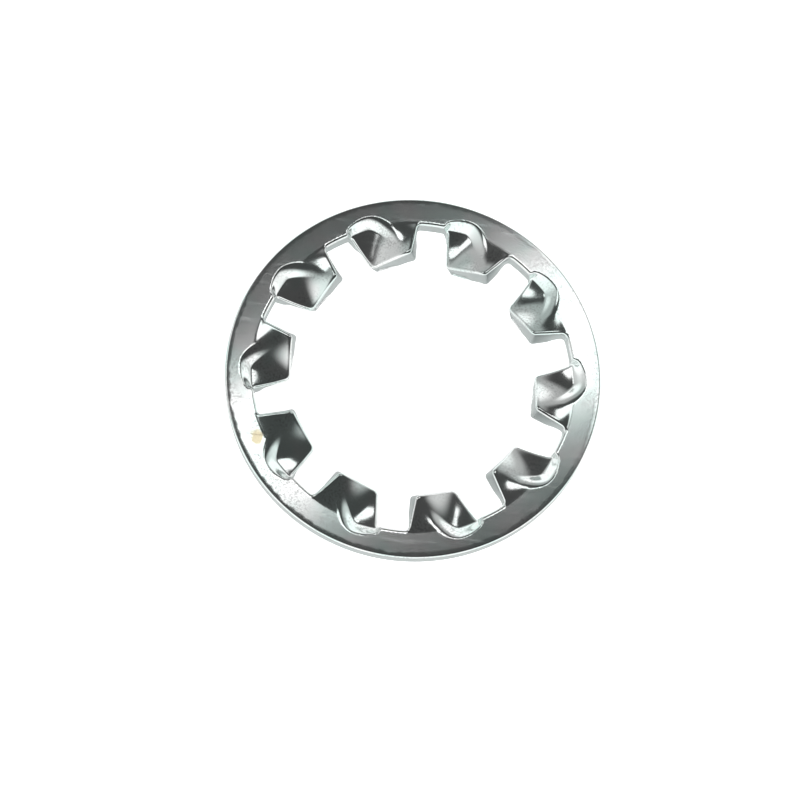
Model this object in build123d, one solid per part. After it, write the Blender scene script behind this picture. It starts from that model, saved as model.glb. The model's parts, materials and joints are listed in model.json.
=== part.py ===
from build123d import *
import math
import os

# Internal-tooth lock washer for a 12 mm bolt, millimetres, +Z up.
# A flat ring of sheet with ten twisted teeth on its inner edge. Seen from above, the clockwise side of each
# tooth is raised and the other side is set down, with a rounded dent in the ring at the set-down root.
# One tooth lies along +X: its raised side faces -Y and its set-down side faces +Y.

# Blank, from the hole outward
HOLE_DIA = 13.2  # across the middles of the tooth tips
TOOTH_LENGTH = 1.975  # from the tip to the bottoms of the gaps
RING_WIDTH = 1.525  # from the bottoms of the gaps to the rim
THICKNESS = 0.9
RIM_ROLL = 0.12  # radius of the rolled upper rim

# Teeth, as cut from the flat sheet
TEETH = 10
ROOT_WIDTH = 3.75
TIP_WIDTH = 2.2
TIP_SKEW = 0.12  # the set-down tip corner reaches this much further in, the raised one this much less
ROOT_CORNER = 0.2
TIP_CORNER = 0.36

# Twist of the teeth
TIP_RISE = 0.33  # raised tip corner above the ring
TIP_DROP = 0.95  # set-down tip corner below its flat place
DENT_DROP = 0.6  # how deep the dent in the ring is at the set-down root
RISE_EASE = 0.25  # how slowly the twist starts at the root, in tooth lengths

# Dent in the ring at each set-down root, measured from the bottoms of the gaps
DENT_REACH = 0.8  # out into the ring
DENT_INSET = 0.425  # in to where the dent is at its deepest

# Cut walls, upright in the ring and square to the twisted sheet in the teeth
UPRIGHT_MARGIN = 0.1  # the walls start to lean this far inside the gap bottoms
LEAN_LENGTH = 0.8
WALL_ABOVE = 0.2  # how far the cutting wall stands clear of the sheet, above and below
WALL_BELOW = 0.25
OVERRUN_ANGLE = 0.01  # radians by which the cutting wall runs past the pitch at both ends
SHEET_MARGIN = 0.18  # sheet drawn inside the tooth tips, to be cut away
STEEPEST = 1.5  # the most by which the sheet's upright thickness grows on its steepest slopes

# Where the sheet's sections are drawn
TOOTH_COUNT = 2  # along the tooth
DENT_COUNT = 4  # across the dent
RAISED_SIDE_COUNT = 7  # round from the raised side's gap
SET_DOWN_SIDE_COUNT = 8  # round to the set-down side's gap, closer together
CLOSE_ANGLE = 7  # degrees round from the tooth's middle, where they draw together

SLOPE_STEP = 0.02  # step for measuring the sheet's slope
TANGENT_SHARE = 0.001  # step for measuring a cut's direction, as a share of its length
SAMPLE_COUNT = 40  # places on each edge where the washer's lowest point is looked for

TIP_R = HOLE_DIA / 2
ROOT_R = TIP_R + TOOTH_LENGTH
DENT_R = ROOT_R + DENT_REACH
OUTER_R = ROOT_R + RING_WIDTH
HALF_PITCH = math.pi / TEETH


def smooth(share):
    share = min(max(share, 0.0), 1.0)
    return share * share * (3 - 2 * share)


def steps(start, end, count):
    """count even steps from start, without the end"""
    return [start + (end - start) * i / count for i in range(count)]


def half_width(r):
    return (ROOT_WIDTH + (TIP_WIDTH - ROOT_WIDTH) * (ROOT_R - r) / TOOTH_LENGTH) / 2


def beside(x, y):
    """0 over the tooth's width, rising to 1 at the middle of the gap on either side"""
    r = math.hypot(x, y)
    side = math.asin(half_width(r) / r)
    return smooth((abs(math.atan2(y, x)) - side) / (HALF_PITCH - side))


def bend(x, y):
    """how far the twisted sheet lies above the flat one at x, y of the tooth along +X"""
    r = math.hypot(x, y)
    half = half_width(r)
    along = max((ROOT_R - r) / TOOTH_LENGTH, 0.0)
    along *= along * (1 + RISE_EASE) / (along + RISE_EASE)
    set_down = max((half + y) / (2 * half), 0.0) ** 2
    raised = max((half - y) / (2 * half), 0.0) ** 2
    dent = smooth((DENT_R - r) / (DENT_REACH + DENT_INSET))
    twist = TIP_RISE * along * raised - set_down * (DENT_DROP * dent + (TIP_DROP - DENT_DROP) * along)
    return twist * (1 - beside(x, y))


def upward(x, y):
    """the direction of the cut walls at x, y"""
    lean = smooth((ROOT_R - UPRIGHT_MARGIN - math.hypot(x, y)) / LEAN_LENGTH) * (1 - beside(x, y))
    across_x = (bend(x + SLOPE_STEP, y) - bend(x - SLOPE_STEP, y)) / (2 * SLOPE_STEP)
    across_y = (bend(x, y + SLOPE_STEP) - bend(x, y - SLOPE_STEP)) / (2 * SLOPE_STEP)
    return Vector(-across_x * lean, -across_y * lean, 1).normalized()


def on_sheet(x, y, above=0.0):
    """a point of the twisted sheet's top face, or so far above it along the cut walls"""
    return Vector(x, y, THICKNESS + bend(x, y)) + upward(x, y) * above


def under_sheet(x, y):
    """the point of the twisted sheet's lower face straight below x, y"""
    return Vector(x, y, THICKNESS + bend(x, y) - THICKNESS * min(1 / upward(x, y).Z, STEEPEST))


def radial_section(angle):
    """the sheet's section in the upright plane through the washer's axis at an angle to the tooth"""
    inner = TIP_R - TIP_SKEW - SHEET_MARGIN
    dent_end = ROOT_R - DENT_INSET
    radii = steps(inner, dent_end, TOOTH_COUNT) + steps(dent_end, DENT_R, DENT_COUNT) + [DENT_R]
    places = [(r * math.cos(angle), r * math.sin(angle)) for r in radii]
    shares = [(r - inner) / (DENT_R - inner) for r in radii]
    outward = Vector(math.cos(angle), math.sin(angle), 0)
    top = [on_sheet(x, y) for x, y in places]
    bottom = [under_sheet(x, y) for x, y in places]
    curves = [
        Edge.make_spline(line, tangents=[(line[1] - line[0]).normalized(), outward], parameters=shares)
        for line in (top, bottom)
    ]
    ends = [Edge.make_line(top[i], bottom[i]) for i in (0, -1)]
    return Wire([curves[0], ends[1], curves[1], ends[0]])


def sheet():
    """one pitch of twisted sheet, out to the end of the dent and flat at both its radial sides"""
    close_from = math.radians(CLOSE_ANGLE)
    angles = steps(-HALF_PITCH, close_from, RAISED_SIDE_COUNT) + steps(close_from, HALF_PITCH, SET_DOWN_SIDE_COUNT)
    return Solid.make_loft([radial_section(angle) for angle in angles + [HALF_PITCH]])


def straight(start, end, count):
    return lambda share: start + (end - start) * share, count


def arc(centre, start, end, count):
    """the shorter way round a centre from start to end"""
    first, last = start - centre, end - centre
    begin = math.atan2(first.Y, first.X)
    turn = (math.atan2(last.Y, last.X) - begin + math.pi) % (2 * math.pi) - math.pi

    def at(share):
        angle = begin + turn * share
        return centre + Vector(math.cos(angle), math.sin(angle)) * first.length

    return at, count


def tip_corner(before, corner, after):
    """centre, start and end of the arc that rounds a corner of the tooth's tip"""
    back, on = (before - corner).normalized(), (after - corner).normalized()
    half = math.acos(back.dot(on)) / 2
    reach = TIP_CORNER / math.tan(half)
    centre = corner + (back + on).normalized() * (TIP_CORNER / math.sin(half))
    return centre, corner + back * reach, corner + on * reach


def gap_corner(tip, root, side):
    """centre of the arc that rounds a gap's corner, and where it meets the gap's bottom and the tooth's side"""
    along = (root - tip).normalized()
    into_gap = Vector(-along.Y, along.X) * side
    start = tip + into_gap * ROOT_CORNER
    reach = start.dot(along)
    reach = math.sqrt(reach**2 - start.dot(start) + (ROOT_R - ROOT_CORNER) ** 2) - reach
    centre = start + along * reach
    return centre, centre.normalized() * ROOT_R, centre - into_gap * ROOT_CORNER


def inner_outline():
    """the flat blank's inner edge over one pitch, as pieces to follow in turn"""

    def on_gap(angle):
        return Vector(ROOT_R * math.cos(angle), ROOT_R * math.sin(angle))

    foot = math.asin(ROOT_WIDTH / 2 / ROOT_R)
    roots = [on_gap(-foot), on_gap(foot)]
    tips = [Vector(TIP_R + TIP_SKEW, -TIP_WIDTH / 2), Vector(TIP_R - TIP_SKEW, TIP_WIDTH / 2)]
    first, gap_end, side_start = gap_corner(tips[0], roots[0], -1)
    last, gap_start, side_end = gap_corner(tips[1], roots[1], 1)
    raised, leaving, tip_start = tip_corner(roots[0], tips[0], tips[1])
    set_down, tip_end, returning = tip_corner(tips[0], tips[1], roots[1])
    axis = Vector(0, 0)
    return [
        arc(axis, on_gap(-HALF_PITCH - OVERRUN_ANGLE), gap_end, 2),
        arc(first, gap_end, side_start, 3),
        straight(side_start, leaving, 3),
        arc(raised, leaving, tip_start, 4),
        straight(tip_start, tip_end, 2),
        arc(set_down, tip_end, returning, 4),
        straight(returning, side_end, 4),
        arc(last, side_end, gap_start, 3),
        arc(axis, gap_start, on_gap(HALF_PITCH + OVERRUN_ANGLE), 2),
    ]


def cut_edge(piece, above):
    """a piece of the outline carried onto the twisted sheet"""
    at, count = piece

    def place(share):
        flat = at(share)
        return on_sheet(flat.X, flat.Y, above)

    ends = [(place(i + TANGENT_SHARE) - place(i - TANGENT_SHARE)) / (2 * TANGENT_SHARE) for i in (0, 1)]
    shares = steps(0, 1, count) + [1]
    return Edge.make_spline([place(i) for i in shares], tangents=ends, parameters=shares, scale=False)


def cutting_wall():
    pieces = inner_outline()
    upper = Wire([cut_edge(piece, WALL_ABOVE) for piece in pieces])
    lower = Wire([cut_edge(piece, -THICKNESS - WALL_BELOW) for piece in pieces])
    return Face.make_surface_from_curves(upper, lower)


def tooth():
    """one twisted tooth with its share of the dented part of the ring"""
    cut = sheet().split(cutting_wall(), keep=Keep.ALL)
    return max(cut.solids(), key=lambda piece: piece.volume)


def from_axis(shape):
    middle = shape.center()
    return math.hypot(middle.X, middle.Y)


def flat_face(borders, radius):
    """a flat face of the ring, from the twisted sheet's borders out to a circle"""
    rim = Edge.make_circle(radius, Plane.XY.offset(borders[0].center().Z))
    return Face(Wire([rim]), [Wire(borders)])


def rim_faces():
    """the outer wall and its rolled upper edge"""
    flat_end = OUTER_R - RIM_ROLL
    wall = Edge.make_line((OUTER_R, 0, 0), (OUTER_R, 0, THICKNESS - RIM_ROLL))
    roll = Edge.make_tangent_arc(wall @ 1, (0, 0, 1), (flat_end, 0, THICKNESS))
    return Shell.revolve(Wire([wall, roll]), 360, Axis.Z).faces()


def washer():
    places = PolarLocations(0, TEETH)
    *bent, joint = tooth().faces().filter_by(GeomType.PLANE, reverse=True).sort_by(from_axis)
    lower, upper = joint.edges().sort_by(SortBy.LENGTH)[-2:].sort_by(Axis.Z)
    teeth = [place * face for place in places for face in bent]
    bottom = flat_face([place * lower for place in places], OUTER_R)
    top = flat_face([place * upper for place in places], OUTER_R - RIM_ROLL)
    whole = Solid(Shell([*teeth, bottom, top, *rim_faces()]))
    lowest = min((edge @ place).Z for edge in whole.edges() for place in steps(0, 1, SAMPLE_COUNT))
    return Pos(0, 0, -lowest) * whole


os.makedirs("parts", exist_ok=True)
export_step(washer(), "parts/lock_washer.step")
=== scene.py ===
"""Studio scene of an internal-tooth lock washer in bright zinc-plated sheet.

One pitch of the flat stamped blank is meshed in Python. A Geometry Nodes tree then does what the press
does: it twists the tooth, sets the dent into the ring, repeats the pitch round the ring and gives it its
finish. The washer lies on a pale table under three softboxes, in a room that is bright low down and dark
overhead.
"""

from __future__ import annotations

import json
import logging
import math
from dataclasses import dataclass, field
from enum import Enum
from typing import Any, Callable, Sequence, Union

import bpy
import numpy as np
from mathutils import Euler, Matrix, Vector
from mathutils.geometry import delaunay_2d_cdt

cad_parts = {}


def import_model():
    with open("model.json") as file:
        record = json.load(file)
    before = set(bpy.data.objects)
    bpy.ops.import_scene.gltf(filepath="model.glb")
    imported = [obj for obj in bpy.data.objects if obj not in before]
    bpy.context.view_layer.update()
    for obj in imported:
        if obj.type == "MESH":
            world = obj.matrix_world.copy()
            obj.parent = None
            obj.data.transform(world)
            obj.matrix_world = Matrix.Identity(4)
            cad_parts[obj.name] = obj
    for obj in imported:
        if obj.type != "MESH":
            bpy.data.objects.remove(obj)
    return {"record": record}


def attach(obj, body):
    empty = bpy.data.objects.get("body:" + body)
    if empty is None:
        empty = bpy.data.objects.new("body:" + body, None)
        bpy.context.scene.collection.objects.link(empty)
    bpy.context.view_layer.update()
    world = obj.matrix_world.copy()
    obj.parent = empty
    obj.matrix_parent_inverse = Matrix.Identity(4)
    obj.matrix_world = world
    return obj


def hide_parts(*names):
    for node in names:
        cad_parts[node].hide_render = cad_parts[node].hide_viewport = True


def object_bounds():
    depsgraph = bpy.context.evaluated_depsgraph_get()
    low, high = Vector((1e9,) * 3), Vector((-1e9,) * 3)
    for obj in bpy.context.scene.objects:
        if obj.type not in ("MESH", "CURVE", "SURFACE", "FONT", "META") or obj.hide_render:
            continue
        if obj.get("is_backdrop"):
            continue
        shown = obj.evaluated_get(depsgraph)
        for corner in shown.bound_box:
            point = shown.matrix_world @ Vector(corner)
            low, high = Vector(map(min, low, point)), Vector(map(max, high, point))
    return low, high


MM = 0.001
CUT = "cut_face"
log = logging.getLogger("washer")


class Num:
    """A number carried by a node socket. Arithmetic on it adds Math nodes to its graph."""

    def __init__(self, graph: "Graph", socket: bpy.types.NodeSocket) -> None:
        """Wraps a socket.

        Args:
            graph: the graph that the socket belongs to.
            socket: an output socket with a number.
        """
        self.graph = graph
        self.socket = socket

    def __add__(self, other: "Term") -> "Num":
        """Adds."""
        return self.graph.math("ADD", self, other)

    def __radd__(self, other: "Term") -> "Num":
        """Adds to a plain number."""
        return self.graph.math("ADD", other, self)

    def __sub__(self, other: "Term") -> "Num":
        """Subtracts."""
        return self.graph.math("SUBTRACT", self, other)

    def __rsub__(self, other: "Term") -> "Num":
        """Subtracts from a plain number."""
        return self.graph.math("SUBTRACT", other, self)

    def __mul__(self, other: "Term") -> "Num":
        """Multiplies."""
        return self.graph.math("MULTIPLY", self, other)

    def __rmul__(self, other: "Term") -> "Num":
        """Multiplies a plain number."""
        return self.graph.math("MULTIPLY", other, self)

    def __truediv__(self, other: "Term") -> "Num":
        """Divides."""
        return self.graph.math("DIVIDE", self, other)

    def __rtruediv__(self, other: "Term") -> "Num":
        """Divides a plain number."""
        return self.graph.math("DIVIDE", other, self)

    def __pow__(self, other: "Term") -> "Num":
        """Raises to a power."""
        return self.graph.math("POWER", self, other)

    def __neg__(self) -> "Num":
        """Changes the sign."""
        return self.graph.math("MULTIPLY", self, -1.0)

    def __abs__(self) -> "Num":
        """Takes the size without the sign."""
        return self.graph.math("ABSOLUTE", self)


Term = Union[float, Num]


class Graph:
    """A node tree under construction, for a material or for Geometry Nodes."""

    def __init__(self, tree: bpy.types.NodeTree) -> None:
        """Starts on an empty tree.

        Args:
            tree: the tree to build in; what it holds is cleared.
        """
        self.tree = tree
        tree.nodes.clear()

    def feed(self, socket: bpy.types.NodeSocket, value: Any) -> None:
        """Links a socket, or sets its own value.

        Args:
            socket: the input socket.
            value: a Num, an output socket, or a plain value.
        """
        if isinstance(value, Num):
            value = value.socket
        if isinstance(value, bpy.types.NodeSocket):
            self.tree.links.new(value, socket)
        else:
            socket.default_value = value

    def node(
        self, kind: str, settings: dict[str, Any] | None = None, inputs: dict[Any, Any] | None = None
    ) -> bpy.types.Node:
        """Adds a node.

        Args:
            kind: the node's type.
            settings: its own settings, set first.
            inputs: values or links of its sockets, by name or number.

        Returns:
            The node.
        """
        made = self.tree.nodes.new(kind)
        for name, value in (settings or {}).items():
            setattr(made, name, value)
        for name, value in (inputs or {}).items():
            self.feed(made.inputs[name], value)
        return made

    def num(self, socket: bpy.types.NodeSocket) -> Num:
        """Wraps a number socket."""
        return Num(self, socket)

    def math(self, operation: str, *terms: Term) -> Num:
        """Adds a Math node.

        Args:
            operation: the node's operation.
            terms: its one to three terms.

        Returns:
            The result.
        """
        made = self.node("ShaderNodeMath", {"operation": operation}, dict(enumerate(terms)))
        return Num(self, made.outputs[0])

    def smooth(self, value: Term, low: Term, high: Term) -> Num:
        """Eases from 0 at low to 1 at high.

        Args:
            value: what is measured.
            low: where the result starts to rise.
            high: where it is full.

        Returns:
            The eased share.
        """
        made = self.node(
            "ShaderNodeMapRange",
            {"interpolation_type": "SMOOTHSTEP"},
            {"Value": value, "From Min": low, "From Max": high},
        )
        return Num(self, made.outputs["Result"])

    def clipped(self, value: Term) -> Num:
        """Keeps a number between 0 and 1."""
        return self.math("MINIMUM", self.math("MAXIMUM", value, 0.0), 1.0)

    def mix(self, factor: Term, first: Any, second: Any) -> bpy.types.NodeSocket:
        """Mixes two colours.

        Args:
            factor: 0 for the first, 1 for the second.
            first: a colour or a link.
            second: a colour or a link.

        Returns:
            The mixed colour's socket.
        """
        made = self.node("ShaderNodeMix", {"data_type": "RGBA"}, {0: factor, 6: first, 7: second})
        return made.outputs[2]


def rgba(red: float, green: float, blue: float) -> tuple[float, float, float, float]:
    """Gives a colour its alpha of 1."""
    return red, green, blue, 1.0


Piece = Callable[[np.ndarray], np.ndarray]


def turned(vector: np.ndarray) -> np.ndarray:
    """Turns a plane vector a quarter turn to its left."""
    return np.array([-vector[1], vector[0]])


def unit(vector: np.ndarray) -> np.ndarray:
    """Gives a vector the length 1."""
    return vector / np.linalg.norm(vector)


def straight(start: np.ndarray, end: np.ndarray) -> Piece:
    """A straight piece of outline from start to end."""
    return lambda shares: start + np.outer(shares, end - start)


def arc(centre: np.ndarray, start: np.ndarray, end: np.ndarray) -> Piece:
    """A piece of circle, the shorter way round its centre.

    Args:
        centre: the circle's centre.
        start: where the piece starts.
        end: where it ends.

    Returns:
        The piece, as a function of shares of its length.
    """
    first, last = start - centre, end - centre
    begin = math.atan2(first[1], first[0])
    turn = (math.atan2(last[1], last[0]) - begin + math.pi) % math.tau - math.pi
    radius = np.linalg.norm(first)

    def at(shares: np.ndarray) -> np.ndarray:
        """Gives the points at shares of the piece's length."""
        angles = begin + turn * shares
        return centre + radius * np.stack([np.cos(angles), np.sin(angles)], axis=1)

    return at


@dataclass
class Shell:
    """Vertices and faces, in millimetres, that are welded as they are added if closer than the grain."""

    places: list[tuple[float, float, float]] = field(default_factory=list)
    cut: list[float] = field(default_factory=list)
    faces: list[tuple[int, ...]] = field(default_factory=list)
    known: dict[tuple[int, int, int], int] = field(default_factory=dict)
    grain: float = 1e-4

    def vertex(self, x: float, y: float, z: float, cut: float) -> int:
        """Adds a vertex, or finds the one that is already there.

        Args:
            x: its place along the tooth, in millimetres.
            y: its place across the tooth.
            z: its height.
            cut: 1 on a cut wall, 0 on a face of the sheet.

        Returns:
            The vertex's number.
        """
        key = (round(x / self.grain), round(y / self.grain), round(z / self.grain))
        if key not in self.known:
            self.known[key] = len(self.places)
            self.places.append((x, y, z))
            self.cut.append(cut)
        return self.known[key]

    def face(self, corners: Sequence[int]) -> None:
        """Adds a face, unless welding has closed it up."""
        if len(set(corners)) == len(corners):
            self.faces.append(tuple(corners))

    def mesh(self, name: str) -> bpy.types.Mesh:
        """Makes the mesh, in metres.

        Args:
            name: the mesh's name.

        Returns:
            The mesh, with its cut walls marked in an attribute.
        """
        made = bpy.data.meshes.new(name)
        made.from_pydata([tuple(c * MM for c in place) for place in self.places], [], self.faces)
        mark = made.attributes.new(CUT, "FLOAT", "POINT")
        mark.data.foreach_set("value", self.cut)
        return made


@dataclass(frozen=True)
class Blank:
    """One pitch of the flat stamped blank, in millimetres, with its tooth along +X.

    The fields from fine on set how closely the sheet is meshed.
    """

    teeth: int = 10
    hole: float = 13.2
    tooth_length: float = 1.975
    ring_width: float = 1.525
    thickness: float = 0.9
    root_width: float = 3.75
    tip_width: float = 2.2
    tip_skew: float = 0.12
    root_corner: float = 0.2
    tip_corner: float = 0.36
    inner_roll: float = 0.17
    outer_roll: float = 0.12
    lower_roll: float = 0.05
    fine: float = 0.065
    coarse: float = 0.22
    fine_reach: float = 1.0
    fill_start: float = 6.0
    fill_half_width: float = 3.4
    edge_margin: float = 0.6
    underside_spacing: float = 1.4
    corner_steps: int = 7
    tip_corner_steps: int = 8
    gap_steps: int = 8
    raised_side_steps: int = 20
    tip_steps: int = 20
    set_down_side_steps: int = 24
    rim_steps: int = 40
    radial_steps: int = 12
    upper_roll_steps: int = 6
    lower_roll_steps: int = 3
    wall_steps: int = 4

    @property
    def tip_radius(self) -> float:
        """From the axis to the middles of the tooth tips."""
        return self.hole / 2

    @property
    def root_radius(self) -> float:
        """From the axis to the bottoms of the gaps."""
        return self.tip_radius + self.tooth_length

    @property
    def outer_radius(self) -> float:
        """From the axis to the rim."""
        return self.root_radius + self.ring_width

    @property
    def half_pitch(self) -> float:
        """Half the angle from one tooth to the next."""
        return math.pi / self.teeth

    def on_gap(self, angle: float) -> np.ndarray:
        """The point of the gaps' bottom circle at an angle."""
        return self.root_radius * np.array([math.cos(angle), math.sin(angle)])

    def _tip_round(self, before: np.ndarray, corner: np.ndarray, after: np.ndarray) -> list[np.ndarray]:
        """Finds the arc that rounds a corner of the tip.

        Args:
            before: a point on the straight before the corner.
            corner: the sharp corner.
            after: a point on the straight after it.

        Returns:
            The arc's centre, start and end.
        """
        back, on = unit(before - corner), unit(after - corner)
        half = math.acos(float(back @ on)) / 2
        reach = self.tip_corner / math.tan(half)
        centre = corner + unit(back + on) * (self.tip_corner / math.sin(half))
        return [centre, corner + back * reach, corner + on * reach]

    def _gap_round(self, tip: np.ndarray, root: np.ndarray, side: int) -> list[np.ndarray]:
        """Finds the arc that rounds a gap's corner.

        Args:
            tip: the tip end of the tooth's side.
            root: its root end.
            side: -1 for the raised side, 1 for the set-down side.

        Returns:
            The arc's centre, its end on the gap's bottom and its end on the tooth's side.
        """
        along = unit(root - tip)
        into_gap = turned(along) * side
        start = tip + into_gap * self.root_corner
        reach = float(start @ along)
        reach = math.sqrt(reach**2 - start @ start + (self.root_radius - self.root_corner) ** 2) - reach
        centre = start + along * reach
        return [centre, unit(centre) * self.root_radius, centre - into_gap * self.root_corner]

    def pieces(self) -> list[tuple[Piece, int]]:
        """The inner edge over one pitch.

        Returns:
            Pieces to follow in turn, each with its number of steps.
        """
        foot = math.asin(self.root_width / 2 / self.root_radius)
        roots = [self.on_gap(-foot), self.on_gap(foot)]
        tips = [
            np.array([self.tip_radius + self.tip_skew, -self.tip_width / 2]),
            np.array([self.tip_radius - self.tip_skew, self.tip_width / 2]),
        ]
        first, gap_end, side_start = self._gap_round(tips[0], roots[0], -1)
        last, gap_start, side_end = self._gap_round(tips[1], roots[1], 1)
        raised, leaving, tip_start = self._tip_round(roots[0], tips[0], tips[1])
        set_down, tip_end, returning = self._tip_round(tips[0], tips[1], roots[1])
        axis = np.zeros(2)
        return [
            (arc(axis, self.on_gap(-self.half_pitch), gap_end), self.gap_steps),
            (arc(first, gap_end, side_start), self.corner_steps),
            (straight(side_start, leaving), self.raised_side_steps),
            (arc(raised, leaving, tip_start), self.tip_corner_steps),
            (straight(tip_start, tip_end), self.tip_steps),
            (arc(set_down, tip_end, returning), self.tip_corner_steps),
            (straight(returning, side_end), self.set_down_side_steps),
            (arc(last, side_end, gap_start), self.corner_steps),
            (arc(axis, gap_start, self.on_gap(self.half_pitch)), self.gap_steps),
        ]

    def inner_edge(self) -> tuple[np.ndarray, np.ndarray]:
        """Samples the inner edge over one pitch.

        Returns:
            The points, and at each the direction into the metal.
        """
        step = 1e-3
        points, normals = [], []
        pieces = self.pieces()
        for number, (at, count) in enumerate(pieces):
            ends = count + (number == len(pieces) - 1)
            shares = np.arange(ends) / count
            ahead = at(shares + step) - at(shares - step)
            points.append(at(shares))
            normals.append(np.stack([ahead[:, 1], -ahead[:, 0]], axis=1))
        normal = np.concatenate(normals)
        normal /= np.linalg.norm(normal, axis=1)[:, None]
        point = np.concatenate(points)
        return point, np.where((normal[0] @ point[0]) > 0, normal, -normal)

    def outer_edge(self) -> tuple[np.ndarray, np.ndarray]:
        """Samples the rim over one pitch.

        Returns:
            The points, and at each the direction into the metal.
        """
        angles = np.linspace(-self.half_pitch, self.half_pitch, self.rim_steps + 1)
        outward = np.stack([np.cos(angles), np.sin(angles)], axis=1)
        return self.outer_radius * outward, -outward

    def profile(self, upper: float, lower: float) -> list[tuple[float, float, float]]:
        """The section of a cut wall with its rolled edges, from the top down.

        Args:
            upper: the radius of the upper roll.
            lower: the radius of the lower roll.

        Returns:
            How far each point lies into the metal, its height, and its mark as cut wall.
        """
        quarter = math.pi / 2
        top = [
            (upper * (1 - math.sin(a)), self.thickness - upper * (1 - math.cos(a)), (a / quarter) ** 2)
            for a in np.linspace(0, quarter, self.upper_roll_steps + 1)
        ]
        heights = np.linspace(self.thickness - upper, lower, self.wall_steps + 1)[1:-1]
        bottom = [
            (lower * (1 - math.cos(a)), lower * (1 - math.sin(a)), 1 - a / quarter)
            for a in np.linspace(0, quarter, self.lower_roll_steps + 1)
        ]
        return top + [(0.0, float(h), 1.0) for h in heights] + bottom

    def add_wall(self, shell: Shell, edge: tuple[np.ndarray, np.ndarray], upper: float, inner: bool) -> None:
        """Adds a cut wall with its rolled edges.

        Args:
            shell: what the wall is added to.
            edge: the wall's line and the directions into the metal.
            upper: the radius of its upper roll.
            inner: whether it is the toothed edge, whose wall faces the axis.
        """
        point, into = edge
        rows = [
            [shell.vertex(x, y, height, mark) for x, y in point + into * depth]
            for depth, height, mark in self.profile(upper, self.lower_roll)
        ]
        for above, below in zip(rows, rows[1:]):
            for i in range(len(above) - 1):
                quad = (above[i], below[i], below[i + 1], above[i + 1])
                shell.face(quad[::-1] if inner else quad)

    def _filling(self, loop: np.ndarray, fine: float) -> np.ndarray:
        """Spreads points inside a loop, closer together where the sheet is bent.

        Args:
            loop: the closed loop's points.
            fine: how far apart the points lie in the bent part.

        Returns:
            The points.
        """
        bent = self.root_radius + self.fine_reach
        bands = ((fine, 0.0, bent), (self.coarse, bent + self.coarse / 2, self.outer_radius))
        found = []
        for spacing, low, high in bands:
            rows = np.arange(-self.fill_half_width, self.fill_half_width, spacing * math.sqrt(3) / 2)
            for number, y in enumerate(rows):
                first = self.fill_start + spacing / 2 * (number % 2)
                xs = np.arange(first, self.outer_radius, spacing)
                radius = np.hypot(xs, y)
                xs = xs[(radius >= low) & (radius < high)]
                candidates = np.stack([xs, np.full_like(xs, y)], axis=1)
                found.append(candidates[self._clear_of(candidates, loop, spacing * self.edge_margin)])
        return np.concatenate(found)

    @staticmethod
    def _clear_of(points: np.ndarray, loop: np.ndarray, margin: float) -> np.ndarray:
        """Tells which points lie inside a loop and clear of it.

        Args:
            points: the points to test.
            loop: the closed loop's points.
            margin: how far from the loop they have to be.

        Returns:
            True for each point that does.
        """
        start, end = loop, np.roll(loop, -1, axis=0)
        run = end - start
        offset = points[:, None, :] - start[None, :, :]
        share = np.clip((offset * run).sum(2) / np.maximum((run * run).sum(1), 1e-12), 0, 1)
        distance = np.linalg.norm(offset - share[..., None] * run, axis=2).min(axis=1)
        above = start[None, :, 1] > points[:, None, 1]
        crosses = above != (end[None, :, 1] > points[:, None, 1])
        rise = np.where(np.abs(run[:, 1]) < 1e-12, 1e-12, run[:, 1])
        crossing = start[:, 0] + (points[:, None, 1] - start[:, 1]) / rise * run[:, 0]
        inside = (crosses & (points[:, None, 0] < crossing)).sum(axis=1) % 2 == 1
        return inside & (distance > margin)

    def add_face(
        self, shell: Shell, inner: np.ndarray, outer: np.ndarray, height: float, fine: float, upward: bool
    ) -> None:
        """Adds a face of the sheet, between the rolled edges.

        Args:
            shell: what the face is added to.
            inner: the face's toothed border.
            outer: its outer border.
            height: its height.
            fine: how far apart its vertices lie in the bent part.
            upward: whether it faces up.
        """
        low, high = np.linalg.norm(inner[0]), np.linalg.norm(outer[0])
        radii = low + (high - low) * np.linspace(0, 1, self.radial_steps + 1)[1:-1]
        sides = [
            np.stack([radii * math.cos(a), radii * math.sin(a)], axis=1)
            for a in (-self.half_pitch, self.half_pitch)
        ]
        loop = np.concatenate([inner, sides[1], outer[::-1], sides[0][::-1]])
        places = np.concatenate([loop, self._filling(loop, fine)])
        count = len(loop)
        edges = [(i, (i + 1) % count) for i in range(count)]
        made = delaunay_2d_cdt([Vector(p) for p in places.tolist()], edges, [], 1, 1e-6)
        exact = {made_index: origins[0] for made_index, origins in enumerate(made[3]) if origins}
        numbers = []
        for index, place in enumerate(made[0]):
            x, y = places[exact[index]] if index in exact else place
            numbers.append(shell.vertex(float(x), float(y), height, 0.0))
        for corners in made[2]:
            a, b, c = (places[exact[i]] for i in corners)
            left = (b[0] - a[0]) * (c[1] - a[1]) - (b[1] - a[1]) * (c[0] - a[0]) > 0
            order = [numbers[i] for i in corners]
            shell.face(order if left == upward else order[::-1])

    def mesh(self) -> bpy.types.Mesh:
        """Makes one pitch of the flat blank.

        Returns:
            The mesh, open only at its two radial sides.
        """
        shell = Shell()
        inner, outer = self.inner_edge(), self.outer_edge()
        self.add_wall(shell, inner, self.inner_roll, True)
        self.add_wall(shell, outer, self.outer_roll, False)
        rolls = ((inner, self.inner_roll), (outer, self.outer_roll))
        top = [edge[0] + edge[1] * roll for edge, roll in rolls]
        bottom = [edge[0] + edge[1] * self.lower_roll for edge in (inner, outer)]
        self.add_face(shell, top[0], top[1], self.thickness, self.fine, True)
        self.add_face(shell, bottom[0], bottom[1], 0.0, self.fine * self.underside_spacing, False)
        return shell.mesh("blank_pitch")


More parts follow.
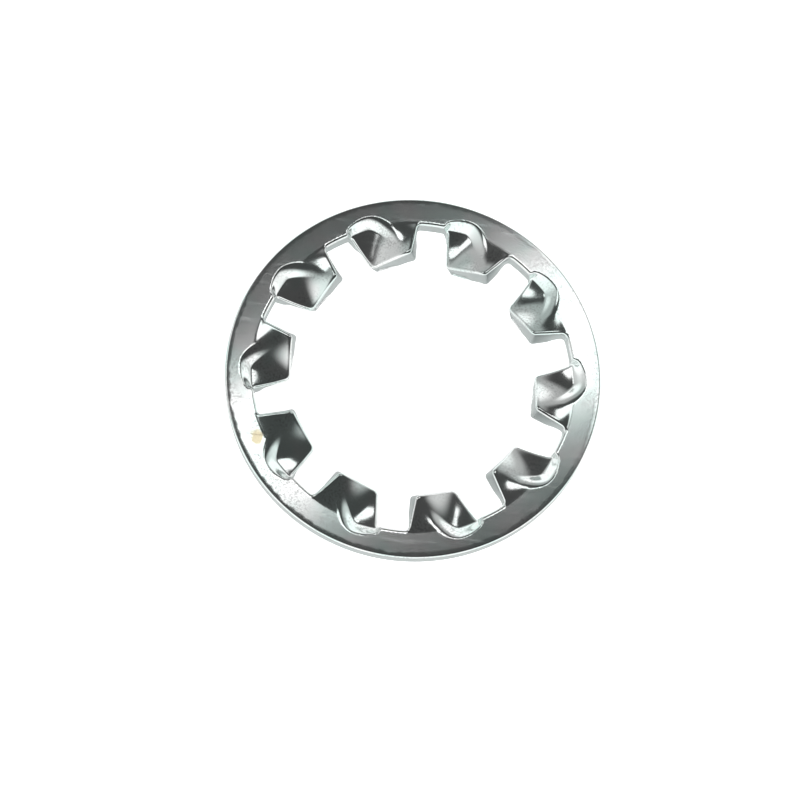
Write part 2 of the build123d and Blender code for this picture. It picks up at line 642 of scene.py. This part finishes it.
@dataclass(frozen=True)
class Twist:
    """How the press twists each tooth and dents the ring, in millimetres."""

    tilt: float = 0.43
    tilt_ease: float = 0.07
    tilt_reach: float = 0.15
    set_down_depth: float = 0.44
    raised_depth: float = 0.11
    dent_relief: float = 0.45
    side_start: float = -0.9
    side_full: float = 0.9
    dent_reach: float = 0.72
    dent_middle: float = 0.85
    dent_half: float = 1.4
    arch_power: float = 2.2
    arch_floor: float = 0.25
    wall_inset: float = -0.1
    raised_inset: float = 1.25
    wall_ease: float = 0.2
    side_fade: float = 0.2
    corner_reach: float = 0.25
    upright_margin: float = 0.1
    lean_length: float = 0.8
    slope_step: float = 0.02

    def lengths(self) -> dict[str, float]:
        """The sizes that the tree takes as lengths.

        Returns:
            Millimetres by the name of the tree's input.
        """
        return {
            "Tilt reach": self.tilt_reach,
            "Set-down depth": self.set_down_depth,
            "Raised depth": self.raised_depth,
            "Side start": self.side_start,
            "Side full": self.side_full,
            "Dent reach": self.dent_reach,
            "Dent middle": self.dent_middle,
            "Dent half width": self.dent_half,
            "Wall inset": self.wall_inset,
            "Raised inset": self.raised_inset,
            "Side fade": self.side_fade,
            "Corner reach": self.corner_reach,
            "Upright margin": self.upright_margin,
            "Lean length": self.lean_length,
            "Slope step": self.slope_step,
        }

    def numbers(self) -> dict[str, float]:
        """The sizes that the tree takes as plain numbers.

        Returns:
            Numbers by the name of the tree's input.
        """
        return {
            "Tilt": self.tilt,
            "Tilt ease": self.tilt_ease,
            "Arch power": self.arch_power,
            "Arch floor": self.arch_floor,
            "Wall ease": self.wall_ease,
            "Dent relief": self.dent_relief,
        }


class PressTree:
    """The Geometry Nodes tree that twists the tooth, repeats it round the ring and dresses it."""

    def __init__(self, name: str, sizes: Sequence[str]) -> None:
        """Builds the tree.

        Args:
            name: the tree's name.
            sizes: the names of its inputs that are lengths or plain numbers.
        """
        self.tree = bpy.data.node_groups.new(name, "GeometryNodeTree")
        self.graph = Graph(self.tree)
        self.identifiers: dict[str, str] = {}
        self._socket("Blank", "NodeSocketGeometry")
        for title in sizes:
            self._socket(title, "NodeSocketFloat")
        self._socket("Teeth", "NodeSocketInt")
        self._socket("Finish", "NodeSocketMaterial")
        self.tree.interface.new_socket(name="Washer", in_out="OUTPUT", socket_type="NodeSocketGeometry")
        self.given = self.graph.node("NodeGroupInput")
        self._build()

    def _socket(self, title: str, kind: str) -> None:
        """Adds a named input.

        Args:
            title: the input's name.
            kind: the socket's type.
        """
        made = self.tree.interface.new_socket(name=title, in_out="INPUT", socket_type=kind)
        self.identifiers[title] = made.identifier

    def _size(self, title: str) -> Num:
        """Gives a named input as a number."""
        return self.graph.num(self.given.outputs[title])

    def _half_width(self, radius: Num) -> Num:
        """Finds half the tooth's width, which stays that of its root from the gaps outward.

        Args:
            radius: the distance from the axis.

        Returns:
            The half width.
        """
        share = (self._size("Gap radius") - radius) / self._size("Tooth length")
        share = self.graph.math("MAXIMUM", share, 0.0)
        return (self._size("Root width") + (self._size("Tip width") - self._size("Root width")) * share) * 0.5

    def _beside(self, y: Num, radius: Num) -> Num:
        """How far a point of the ring lies past the tooth's side, into the gap.

        Args:
            y: the place across the tooth.
            radius: the distance from the axis.

        Returns:
            0 over the tooth, rising to 1 a little way along the gap's edge.
        """
        graph = self.graph
        past = graph.smooth(abs(y) - self._half_width(radius), 0.0, self._size("Side fade"))
        start = self._size("Gap radius") - self._size("Corner reach")
        return past * graph.smooth(radius, start, self._size("Gap radius"))

    def _dent(self, y: Num, radius: Num) -> Num:
        """How far the tooth's root is pressed below the ring.

        Args:
            y: the place across the tooth.
            radius: the distance from the axis.

        Returns:
            The depth, which starts at an arched wall on the set-down side and gently on the raised side,
            and grows a little less toward the tip.
        """
        graph = self.graph
        off = graph.math("MINIMUM", abs(y - self._size("Dent middle")) / self._size("Dent half width"), 1.0)
        floor = self._size("Arch floor")
        arch = 1.0 - off ** self._size("Arch power")
        side = graph.smooth(y, self._size("Side start"), self._size("Side full"))
        reach = self._size("Dent reach") * (floor * side + (1.0 - floor) * arch)
        inset = self._between(side, "Raised inset", "Wall inset")
        inside = graph.clipped((self._size("Gap radius") + reach - radius) / (reach + inset))
        share = graph.clipped((self._size("Gap radius") - radius) / self._size("Tooth length"))
        depth = self._between(side, "Raised depth", "Set-down depth")
        depth = depth * (1.0 - self._size("Dent relief") * share * share)
        ease = self._size("Wall ease") * side + (1.0 - side)
        return depth * (inside * (1.0 - ease) + graph.smooth(inside, 0.0, 1.0) * ease)

    def _between(self, share: Num, first: str, second: str) -> Num:
        """Goes from one named input to another.

        Args:
            share: 0 for the first, 1 for the second.
            first: the first input's name.
            second: the second input's name.

        Returns:
            The value between them.
        """
        return self._size(first) + (self._size(second) - self._size(first)) * share

    def _along(self, radius: Num) -> Num:
        """How much of its tilt the tooth has.

        Args:
            radius: the distance from the axis.

        Returns:
            0 where the twist starts, rising to 1 at the tip.
        """
        reach, ease = self._size("Tilt reach"), self._size("Tilt ease")
        inward = (self._size("Gap radius") + reach - radius) / (self._size("Tooth length") + reach)
        inward = self.graph.math("MAXIMUM", inward, 0.0)
        return inward * inward * (ease + 1.0) / (inward + ease)

    def _bend(self, x: Num, y: Num) -> Num:
        """How far the twisted sheet lies above the flat one.

        Args:
            x: the place along the tooth.
            y: the place across the tooth.

        Returns:
            The height.
        """
        radius = self.graph.math("SQRT", x * x + y * y)
        twist = self._size("Tilt") * self._along(radius) * y
        return -(twist + self._dent(y, radius)) * (1.0 - self._beside(y, radius))

    def _lean(self, x: Num, y: Num) -> Num:
        """How much the cut walls stand square to the twisted sheet.

        Args:
            x: the place along the tooth.
            y: the place across the tooth.

        Returns:
            0 in the ring, where they stand upright, rising to 1 in the tooth.
        """
        graph = self.graph
        radius = graph.math("SQRT", x * x + y * y)
        start = self._size("Gap radius") - self._size("Upright margin")
        along = 1.0 - graph.smooth(radius, start - self._size("Lean length"), start)
        return along * (1.0 - self._beside(y, radius))

    def _build(self) -> None:
        """Lays the nodes from the flat blank to the finished washer."""
        graph = self.graph
        position = graph.node("GeometryNodeInputPosition")
        place = graph.node("ShaderNodeSeparateXYZ", None, {0: position.outputs[0]})
        x, y, z = (graph.num(place.outputs[i]) for i in range(3))
        step = self._size("Slope step")
        slope_x = (self._bend(x + step, y) - self._bend(x - step, y)) / (step * 2.0)
        slope_y = (self._bend(x, y + step) - self._bend(x, y - step)) / (step * 2.0)
        lean = self._lean(x, y)
        toward_x, toward_y = -(slope_x * lean), -(slope_y * lean)
        length = graph.math("SQRT", toward_x * toward_x + toward_y * toward_y + 1.0)
        depth = (z - self._size("Thickness")) / length
        height = self._size("Thickness") + self._bend(x, y) + depth + self._size("Underside height")
        moved = graph.node(
            "ShaderNodeCombineXYZ", None, {0: x + toward_x * depth, 1: y + toward_y * depth, 2: height}
        )
        bent = graph.node(
            "GeometryNodeSetPosition",
            None,
            {"Geometry": self.given.outputs["Blank"], "Position": moved.outputs[0]},
        )
        points = graph.node("GeometryNodePoints", None, {"Count": self.given.outputs["Teeth"]})
        number = graph.num(graph.node("GeometryNodeInputIndex").outputs[0])
        turn = graph.node("ShaderNodeCombineXYZ", None, {2: number * math.tau / self._size("Teeth")})
        ring = graph.node(
            "GeometryNodeInstanceOnPoints",
            None,
            {"Points": points.outputs[0], "Instance": bent.outputs[0], "Rotation": turn.outputs[0]},
        )
        whole = graph.node("GeometryNodeRealizeInstances", None, {"Geometry": ring.outputs[0]})
        welded = graph.node(
            "GeometryNodeMergeByDistance",
            None,
            {"Geometry": whole.outputs[0], "Distance": self._size("Weld distance")},
        )
        shaded = graph.node("GeometryNodeSetShadeSmooth", None, {"Geometry": welded.outputs[0]})
        dressed = graph.node(
            "GeometryNodeSetMaterial",
            None,
            {"Geometry": shaded.outputs[0], "Material": self.given.outputs["Finish"]},
        )
        graph.node("NodeGroupOutput", None, {0: dressed.outputs[0]})


@dataclass(frozen=True)
class BrightZinc:
    """Bright zinc plating with a fine crystal speckle, scratches, one stain and duller cut edges, whose grey
    is partly their own sheared face and partly painted shade for the shadowed table that they mirror.

    Places and the stain's reach are in millimetres, and the scales of its patterns are per metre.
    """

    name: str = "bright_zinc"
    green: tuple[float, float, float] = (0.67, 0.765, 0.74)
    mauve: tuple[float, float, float] = (0.775, 0.785, 0.78)
    # cut: the cut walls' colour, partly their own oxidised sheared face and partly painted shade for the
    # shadowed table that they mirror
    cut: tuple[float, float, float] = (0.40, 0.43, 0.425)
    stain: tuple[float, float, float] = (0.48, 0.43, 0.30)
    stain_place: tuple[float, float, float] = (-7.73, -4.7, 1.5)
    stain_reach: float = 0.45
    speck: float = 0.3
    roughness: float = 0.12
    cut_roughness: float = 0.42
    grain_scale: float = 9000.0
    patch_scale: float = 650.0
    cloud_scale: float = 420.0
    stain_scale: float = 1800.0
    scratch_scale: tuple[float, float, float] = (350.0, 5200.0, 350.0)
    scratch_turn: float = 0.7
    grain_tint: float = 0.36
    grain_roughness: float = 0.03
    scratch_roughness: float = 0.05
    bump_strength: float = 0.01
    bump_height: float = 0.003

    @staticmethod
    def _noise(graph: Graph, place: bpy.types.NodeSocket, scale: float, detail: float) -> Num:
        """Adds a noise pattern.

        Args:
            graph: the material's tree.
            place: the coordinates that it is laid on.
            scale: how fine it is.
            detail: how many finer layers it has.

        Returns:
            Its strength, from 0 to 1.
        """
        made = graph.node("ShaderNodeTexNoise", None, {"Vector": place, "Scale": scale, "Detail": detail})
        return graph.num(made.outputs["Fac"])

    def _marks(self, graph: Graph, place: bpy.types.NodeSocket) -> tuple[Num, Num]:
        """Draws the wear on the flat metal.

        Args:
            graph: the material's tree.
            place: the object coordinates.

        Returns:
            How much crystal speckle and how much fine scratching there is.
        """
        grain = graph.smooth(self._noise(graph, place, self.grain_scale, 3.0), 0.45, 0.65)
        grain = grain * graph.smooth(self._noise(graph, place, self.patch_scale, 2.0), 0.38, 0.62)
        brushed = graph.node(
            "ShaderNodeMapping",
            None,
            {"Vector": place, "Rotation": (0.0, 0.0, self.scratch_turn), "Scale": self.scratch_scale},
        )
        return grain, graph.smooth(self._noise(graph, brushed.outputs[0], 1.0, 3.0), 0.55, 0.8)

    def _stained(self, graph: Graph, place: bpy.types.NodeSocket) -> Num:
        """Draws the small yellowish stain on the ring.

        Args:
            graph: the material's tree.
            place: the object coordinates.

        Returns:
            How strongly the metal is stained, from 0 to 1.
        """
        middle = tuple(c * MM for c in self.stain_place)
        away = graph.node("ShaderNodeVectorMath", {"operation": "DISTANCE"}, {0: place, 1: middle})
        ragged = self._noise(graph, place, self.stain_scale, 3.0)
        reach = ragged * (self.stain_reach * MM * 2.0)
        return 1.0 - graph.smooth(graph.num(away.outputs["Value"]) / reach, 0.6, 1.1)

    def material(self) -> bpy.types.Material:
        """Makes the finish.

        Returns:
            The material.
        """
        made = bpy.data.materials.new(self.name)
        made.use_nodes = True
        graph = Graph(made.node_tree)
        place = graph.node("ShaderNodeTexCoord").outputs["Object"]
        mark = graph.node("ShaderNodeAttribute", {"attribute_name": CUT})
        cut = graph.smooth(graph.num(mark.outputs["Fac"]), 0.35, 0.9)
        grain, lines = self._marks(graph, place)
        cloud = graph.smooth(self._noise(graph, place, self.cloud_scale, 2.0), 0.35, 0.65)
        tint = graph.mix(cloud, rgba(*self.green), rgba(*self.mauve))
        dull = graph.mix(grain * self.grain_tint, tint, rgba(*[self.speck] * 3))
        stained = graph.mix(self._stained(graph, place), dull, rgba(*self.stain))
        # the cut walls take the grey cut colour, which is partly their own face and partly painted shade for
        # the shadowed table that they mirror
        colour = graph.mix(cut, stained, rgba(*self.cut))
        rough = grain * self.grain_roughness + lines * self.scratch_roughness + self.roughness
        rough = rough * (1.0 - cut) + cut * self.cut_roughness
        bump = graph.node(
            "ShaderNodeBump",
            None,
            {
                "Strength": self.bump_strength,
                "Distance": self.bump_height * MM,
                "Height": grain * 0.6 + lines * 0.4,
            },
        )
        surface = graph.node(
            "ShaderNodeBsdfPrincipled",
            None,
            {"Base Color": colour, "Metallic": 1.0, "Roughness": rough, "Normal": bump.outputs[0]},
        )
        graph.node("ShaderNodeOutputMaterial", None, {0: surface.outputs[0]})
        return made


@dataclass
class LockWasher:
    """The one-piece washer, from its flat blank to its finish."""

    blank: Blank = field(default_factory=Blank)
    twist: Twist = field(default_factory=Twist)
    finish: BrightZinc = field(default_factory=BrightZinc)
    node: str = "lock_washer"
    piece: str = "toothed_washer"
    weld: float = 0.0005

    def sizes(self, underside: float) -> dict[str, float]:
        """Gathers what the tree takes as lengths, in metres, and as plain numbers.

        Args:
            underside: the height of the ring's underside, in metres.

        Returns:
            Values by the name of the tree's input.
        """
        lengths = self.twist.lengths() | {
            "Thickness": self.blank.thickness,
            "Gap radius": self.blank.root_radius,
            "Tooth length": self.blank.tooth_length,
            "Root width": self.blank.root_width,
            "Tip width": self.blank.tip_width,
            "Weld distance": self.weld,
        }
        metres = {name: size * MM for name, size in lengths.items()}
        return metres | self.twist.numbers() | {"Underside height": underside}

    def build(self, underside: float) -> bpy.types.Object:
        """Presses, repeats and dresses the washer.

        Args:
            underside: the height of the ring's underside, in metres.

        Returns:
            The finished piece.
        """
        blank = bpy.data.objects.new("blank", self.blank.mesh())
        bpy.context.scene.collection.objects.link(blank)
        sizes = self.sizes(underside)
        press = PressTree("press_teeth", list(sizes))
        modifier = blank.modifiers.new("press", "NODES")
        modifier.node_group = press.tree
        values = sizes | {"Teeth": self.blank.teeth, "Finish": self.finish.material()}
        for name, value in values.items():
            modifier[press.identifiers[name]] = value
        blank.update_tag()
        seen = bpy.context.evaluated_depsgraph_get()
        mesh = bpy.data.meshes.new_from_object(blank.evaluated_get(seen), depsgraph=seen)
        washer = bpy.data.objects.new(self.piece, mesh)
        bpy.context.scene.collection.objects.link(washer)
        blank.modifiers.clear()
        bpy.data.objects.remove(blank)
        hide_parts(self.node)
        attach(washer, "root")
        log.info("%s: %d vertices, %d faces", washer.name, len(mesh.vertices), len(mesh.polygons))
        return washer


def direction(bearing: float, elevation: float) -> Vector:
    """Points from the washer into the room.

    Args:
        bearing: degrees counterclockwise from +X.
        elevation: degrees above the table.

    Returns:
        The unit vector.
    """
    flat, up = math.radians(bearing), math.radians(elevation)
    return Vector((math.cos(flat) * math.cos(up), math.sin(flat) * math.cos(up), math.sin(up)))


class Form(Enum):
    """The outlines that a lamp's front can have."""

    STRIP = "RECTANGLE"
    ROUND = "DISK"


@dataclass(frozen=True)
class Softbox:
    """A lamp that points at the middle of the washer, in metres and degrees.

    Its spin turns its front about the line to the washer, and its radiance is how bright that front looks.
    """

    name: str
    form: Form
    bearing: float
    elevation: float
    distance: float
    size: tuple[float, float]
    spin: float
    radiance: float

    def build(self, turn: float) -> bpy.types.Object:
        """Hangs the lamp.

        Args:
            turn: the studio's turn about the upright axis, in degrees.

        Returns:
            The lamp.
        """
        lamp = bpy.data.lights.new(self.name, "AREA")
        lamp.shape = self.form.value
        lamp.size = self.size[0]
        if self.form is Form.STRIP:
            lamp.size_y = self.size[1]
        front = self.size[0] * (self.size[1] if self.form is Form.STRIP else self.size[0] * math.pi / 4)
        lamp.energy = self.radiance * math.pi * front
        made = bpy.data.objects.new(self.name, lamp)
        toward = direction(self.bearing + turn, self.elevation)
        facing = toward.to_track_quat("Z", "Y").to_matrix().to_4x4()
        spin = Matrix.Rotation(math.radians(self.spin), 4, "Z")
        made.matrix_world = Matrix.Translation(toward * self.distance) @ facing @ spin
        bpy.context.scene.collection.objects.link(made)
        log.info("lamp %s", self.name)
        return made


@dataclass(frozen=True)
class RoomShade:
    """What the metal sees round it: a dark opening overhead, grey walls and a bright low band.

    The opening is placed by its bearing and elevation in degrees. The low band ends at a height on the
    unit sphere, and side_blur is the cosine at which a wall is fully bright or dim.
    """

    overhead: float = 0.07
    opening: tuple[float, float] = (27.0, 81.0)
    opening_angle: float = 47.0
    opening_blur: float = 8.0
    dim_wall: float = 0.5
    bright_wall: float = 1.5
    bright_side: float = 270.0
    low: float = 1.4
    low_from: float = 0.32
    low_blur: float = 0.1
    side_blur: float = 0.9
    tone: tuple[float, float, float] = (0.985, 1.0, 0.995)


@dataclass
class Studio:
    """The pale table, the lamps and the room round them."""

    turn: float = 7.3
    table_reach: float = 3.0
    table_white: float = 0.8
    table_glow: float = 0.8
    shade: RoomShade = field(default_factory=RoomShade)
    lamps: tuple[Softbox, ...] = (
        Softbox("strip_overhead", Form.STRIP, 79.4, 72.4, 0.6, (0.17, 0.046), 32.0, 2.4),
        Softbox("lamp_left", Form.ROUND, 138.3, 60.3, 0.6, (0.2, 0.2), 0.0, 1.5),
        Softbox("lamp_right", Form.ROUND, 49.1, 60.7, 0.6, (0.2, 0.2), 0.0, 1.5),
    )

    def table(self) -> bpy.types.Object:
        """Lays the table top, white to the camera and keeping the washer's shadow.

        Returns:
            The table top.
        """
        reach = self.table_reach
        mesh = bpy.data.meshes.new("table_top")
        corners = [(-reach, -reach, 0.0), (reach, -reach, 0.0), (reach, reach, 0.0), (-reach, reach, 0.0)]
        mesh.from_pydata(corners, [], [(0, 1, 2, 3)])
        material = bpy.data.materials.new("table_white")
        material.use_nodes = True
        graph = Graph(material.node_tree)
        paper = graph.node("ShaderNodeBsdfDiffuse", None, {"Color": rgba(*[self.table_white] * 3)})
        seen = graph.node("ShaderNodeLightPath")
        white = rgba(1.0, 1.0, 1.0)
        glow = graph.node("ShaderNodeEmission", None, {"Color": white, "Strength": self.table_glow})
        both = graph.node("ShaderNodeAddShader", None, {0: paper.outputs[0], 1: glow.outputs[0]})
        rays = ("Is Camera Ray", "Is Glossy Ray", "Is Transmission Ray")
        camera, glossy, through = (graph.num(seen.outputs[ray]) for ray in rays)
        bright = graph.math("MAXIMUM", graph.math("MAXIMUM", camera, glossy), through)
        shown = graph.node("ShaderNodeMixShader", None, {0: bright, 1: paper.outputs[0], 2: both.outputs[0]})
        graph.node("ShaderNodeOutputMaterial", None, {0: shown.outputs[0]})
        mesh.materials.append(material)
        made = bpy.data.objects.new("table_top", mesh)
        bpy.context.scene.collection.objects.link(made)
        made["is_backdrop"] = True
        return made

    def room(self) -> None:
        """Surrounds the table with a room that is bright low down, grey at the sides and dark overhead."""
        world = bpy.data.worlds.new("room")
        world.use_nodes = True
        bpy.context.scene.world = world
        shade = self.shade
        graph = Graph(world.node_tree)
        toward = graph.node("ShaderNodeTexCoord").outputs["Generated"]

        def facing(bearing: float, elevation: float) -> Num:
            """How nearly a ray points some way.

            Args:
                bearing: degrees counterclockwise from the studio's +X.
                elevation: degrees above the table.

            Returns:
                The cosine of the angle between them.
            """
            way = graph.node(
                "ShaderNodeVectorMath",
                {"operation": "DOT_PRODUCT"},
                {0: toward, 1: tuple(direction(bearing + self.turn, elevation))},
            )
            return graph.num(way.outputs["Value"])

        def grey(level: float) -> tuple[float, float, float, float]:
            """Makes a grey with the walls' faint green.

            Args:
                level: its brightness.

            Returns:
                The colour.
            """
            return rgba(*(level * part for part in shade.tone))

        side = graph.smooth(facing(shade.bright_side, 0.0), -shade.side_blur, shade.side_blur)
        walls = graph.mix(side, grey(shade.dim_wall), grey(shade.bright_wall))
        outside = math.cos(math.radians(shade.opening_angle + shade.opening_blur))
        inside = math.cos(math.radians(shade.opening_angle - shade.opening_blur))
        opened = graph.smooth(facing(*shade.opening), outside, inside)
        upper = graph.mix(opened, walls, grey(shade.overhead))
        height = facing(0.0, 90.0)
        high = graph.smooth(height, shade.low_from - shade.low_blur, shade.low_from + shade.low_blur)
        mirrored = graph.mix(high, grey(shade.low), upper)
        path = graph.node("ShaderNodeLightPath")
        colour = graph.mix(graph.num(path.outputs["Is Camera Ray"]), mirrored, rgba(1.0, 1.0, 1.0))
        light = graph.node("ShaderNodeBackground", None, {"Color": colour, "Strength": 1.0})
        graph.node("ShaderNodeOutputWorld", None, {0: light.outputs[0]})

    def build(self) -> None:
        """Sets up the table, the room and the lamps."""
        self.table()
        self.room()
        for lamp in self.lamps:
            lamp.build(self.turn)


@dataclass(frozen=True)
class Viewpoint:
    """The camera's place and turn, in millimetres and degrees."""

    place: tuple[float, float, float] = (-1.4887, -33.2118, 103.4149)
    turn: tuple[float, float, float] = (17.0434, -2.8299, 7.4077)
    lens: float = 90.0
    sensor: float = 36.0
    nearest: float = 5.0
    farthest: float = 20000.0

    def build(self) -> bpy.types.Object:
        """Puts up the camera.

        Returns:
            The camera.
        """
        camera = bpy.data.cameras.new("camera")
        camera.lens = self.lens
        camera.sensor_width = self.sensor
        camera.clip_start = self.nearest * MM
        camera.clip_end = self.farthest * MM
        made = bpy.data.objects.new("camera", camera)
        turn = Euler([math.radians(a) for a in self.turn], "XYZ")
        made.matrix_world = Matrix.LocRotScale(Vector(self.place) * MM, turn, None)
        bpy.context.scene.collection.objects.link(made)
        bpy.context.scene.camera = made
        return made


def underside_height(record: dict[str, Any]) -> float:
    """Finds the ring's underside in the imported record.

    Args:
        record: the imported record.

    Returns:
        Its height, in metres.
    """
    mounts = {mount["name"]: mount for mount in record["mounts"]}
    return float(mounts["ring_underside"]["pos_m"][2])


def corners(box: Sequence[Sequence[float]]) -> list[list[float]]:
    """Writes a box's two corners as plain lists."""
    return [[float(c) for c in corner] for corner in box]


def main() -> None:
    """Builds the washer, the studio and the camera."""
    logging.basicConfig(level=logging.INFO, format="%(name)s: %(message)s")
    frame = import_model()
    solid_box = corners(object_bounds())
    bpy.context.scene.view_settings.view_transform = "Standard"
    LockWasher().build(underside_height(frame["record"]))
    Studio().build()
    Viewpoint().build()
    {"solid_box": solid_box, "visual_box": corners(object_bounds())}


if __name__ == "__main__":
    main()
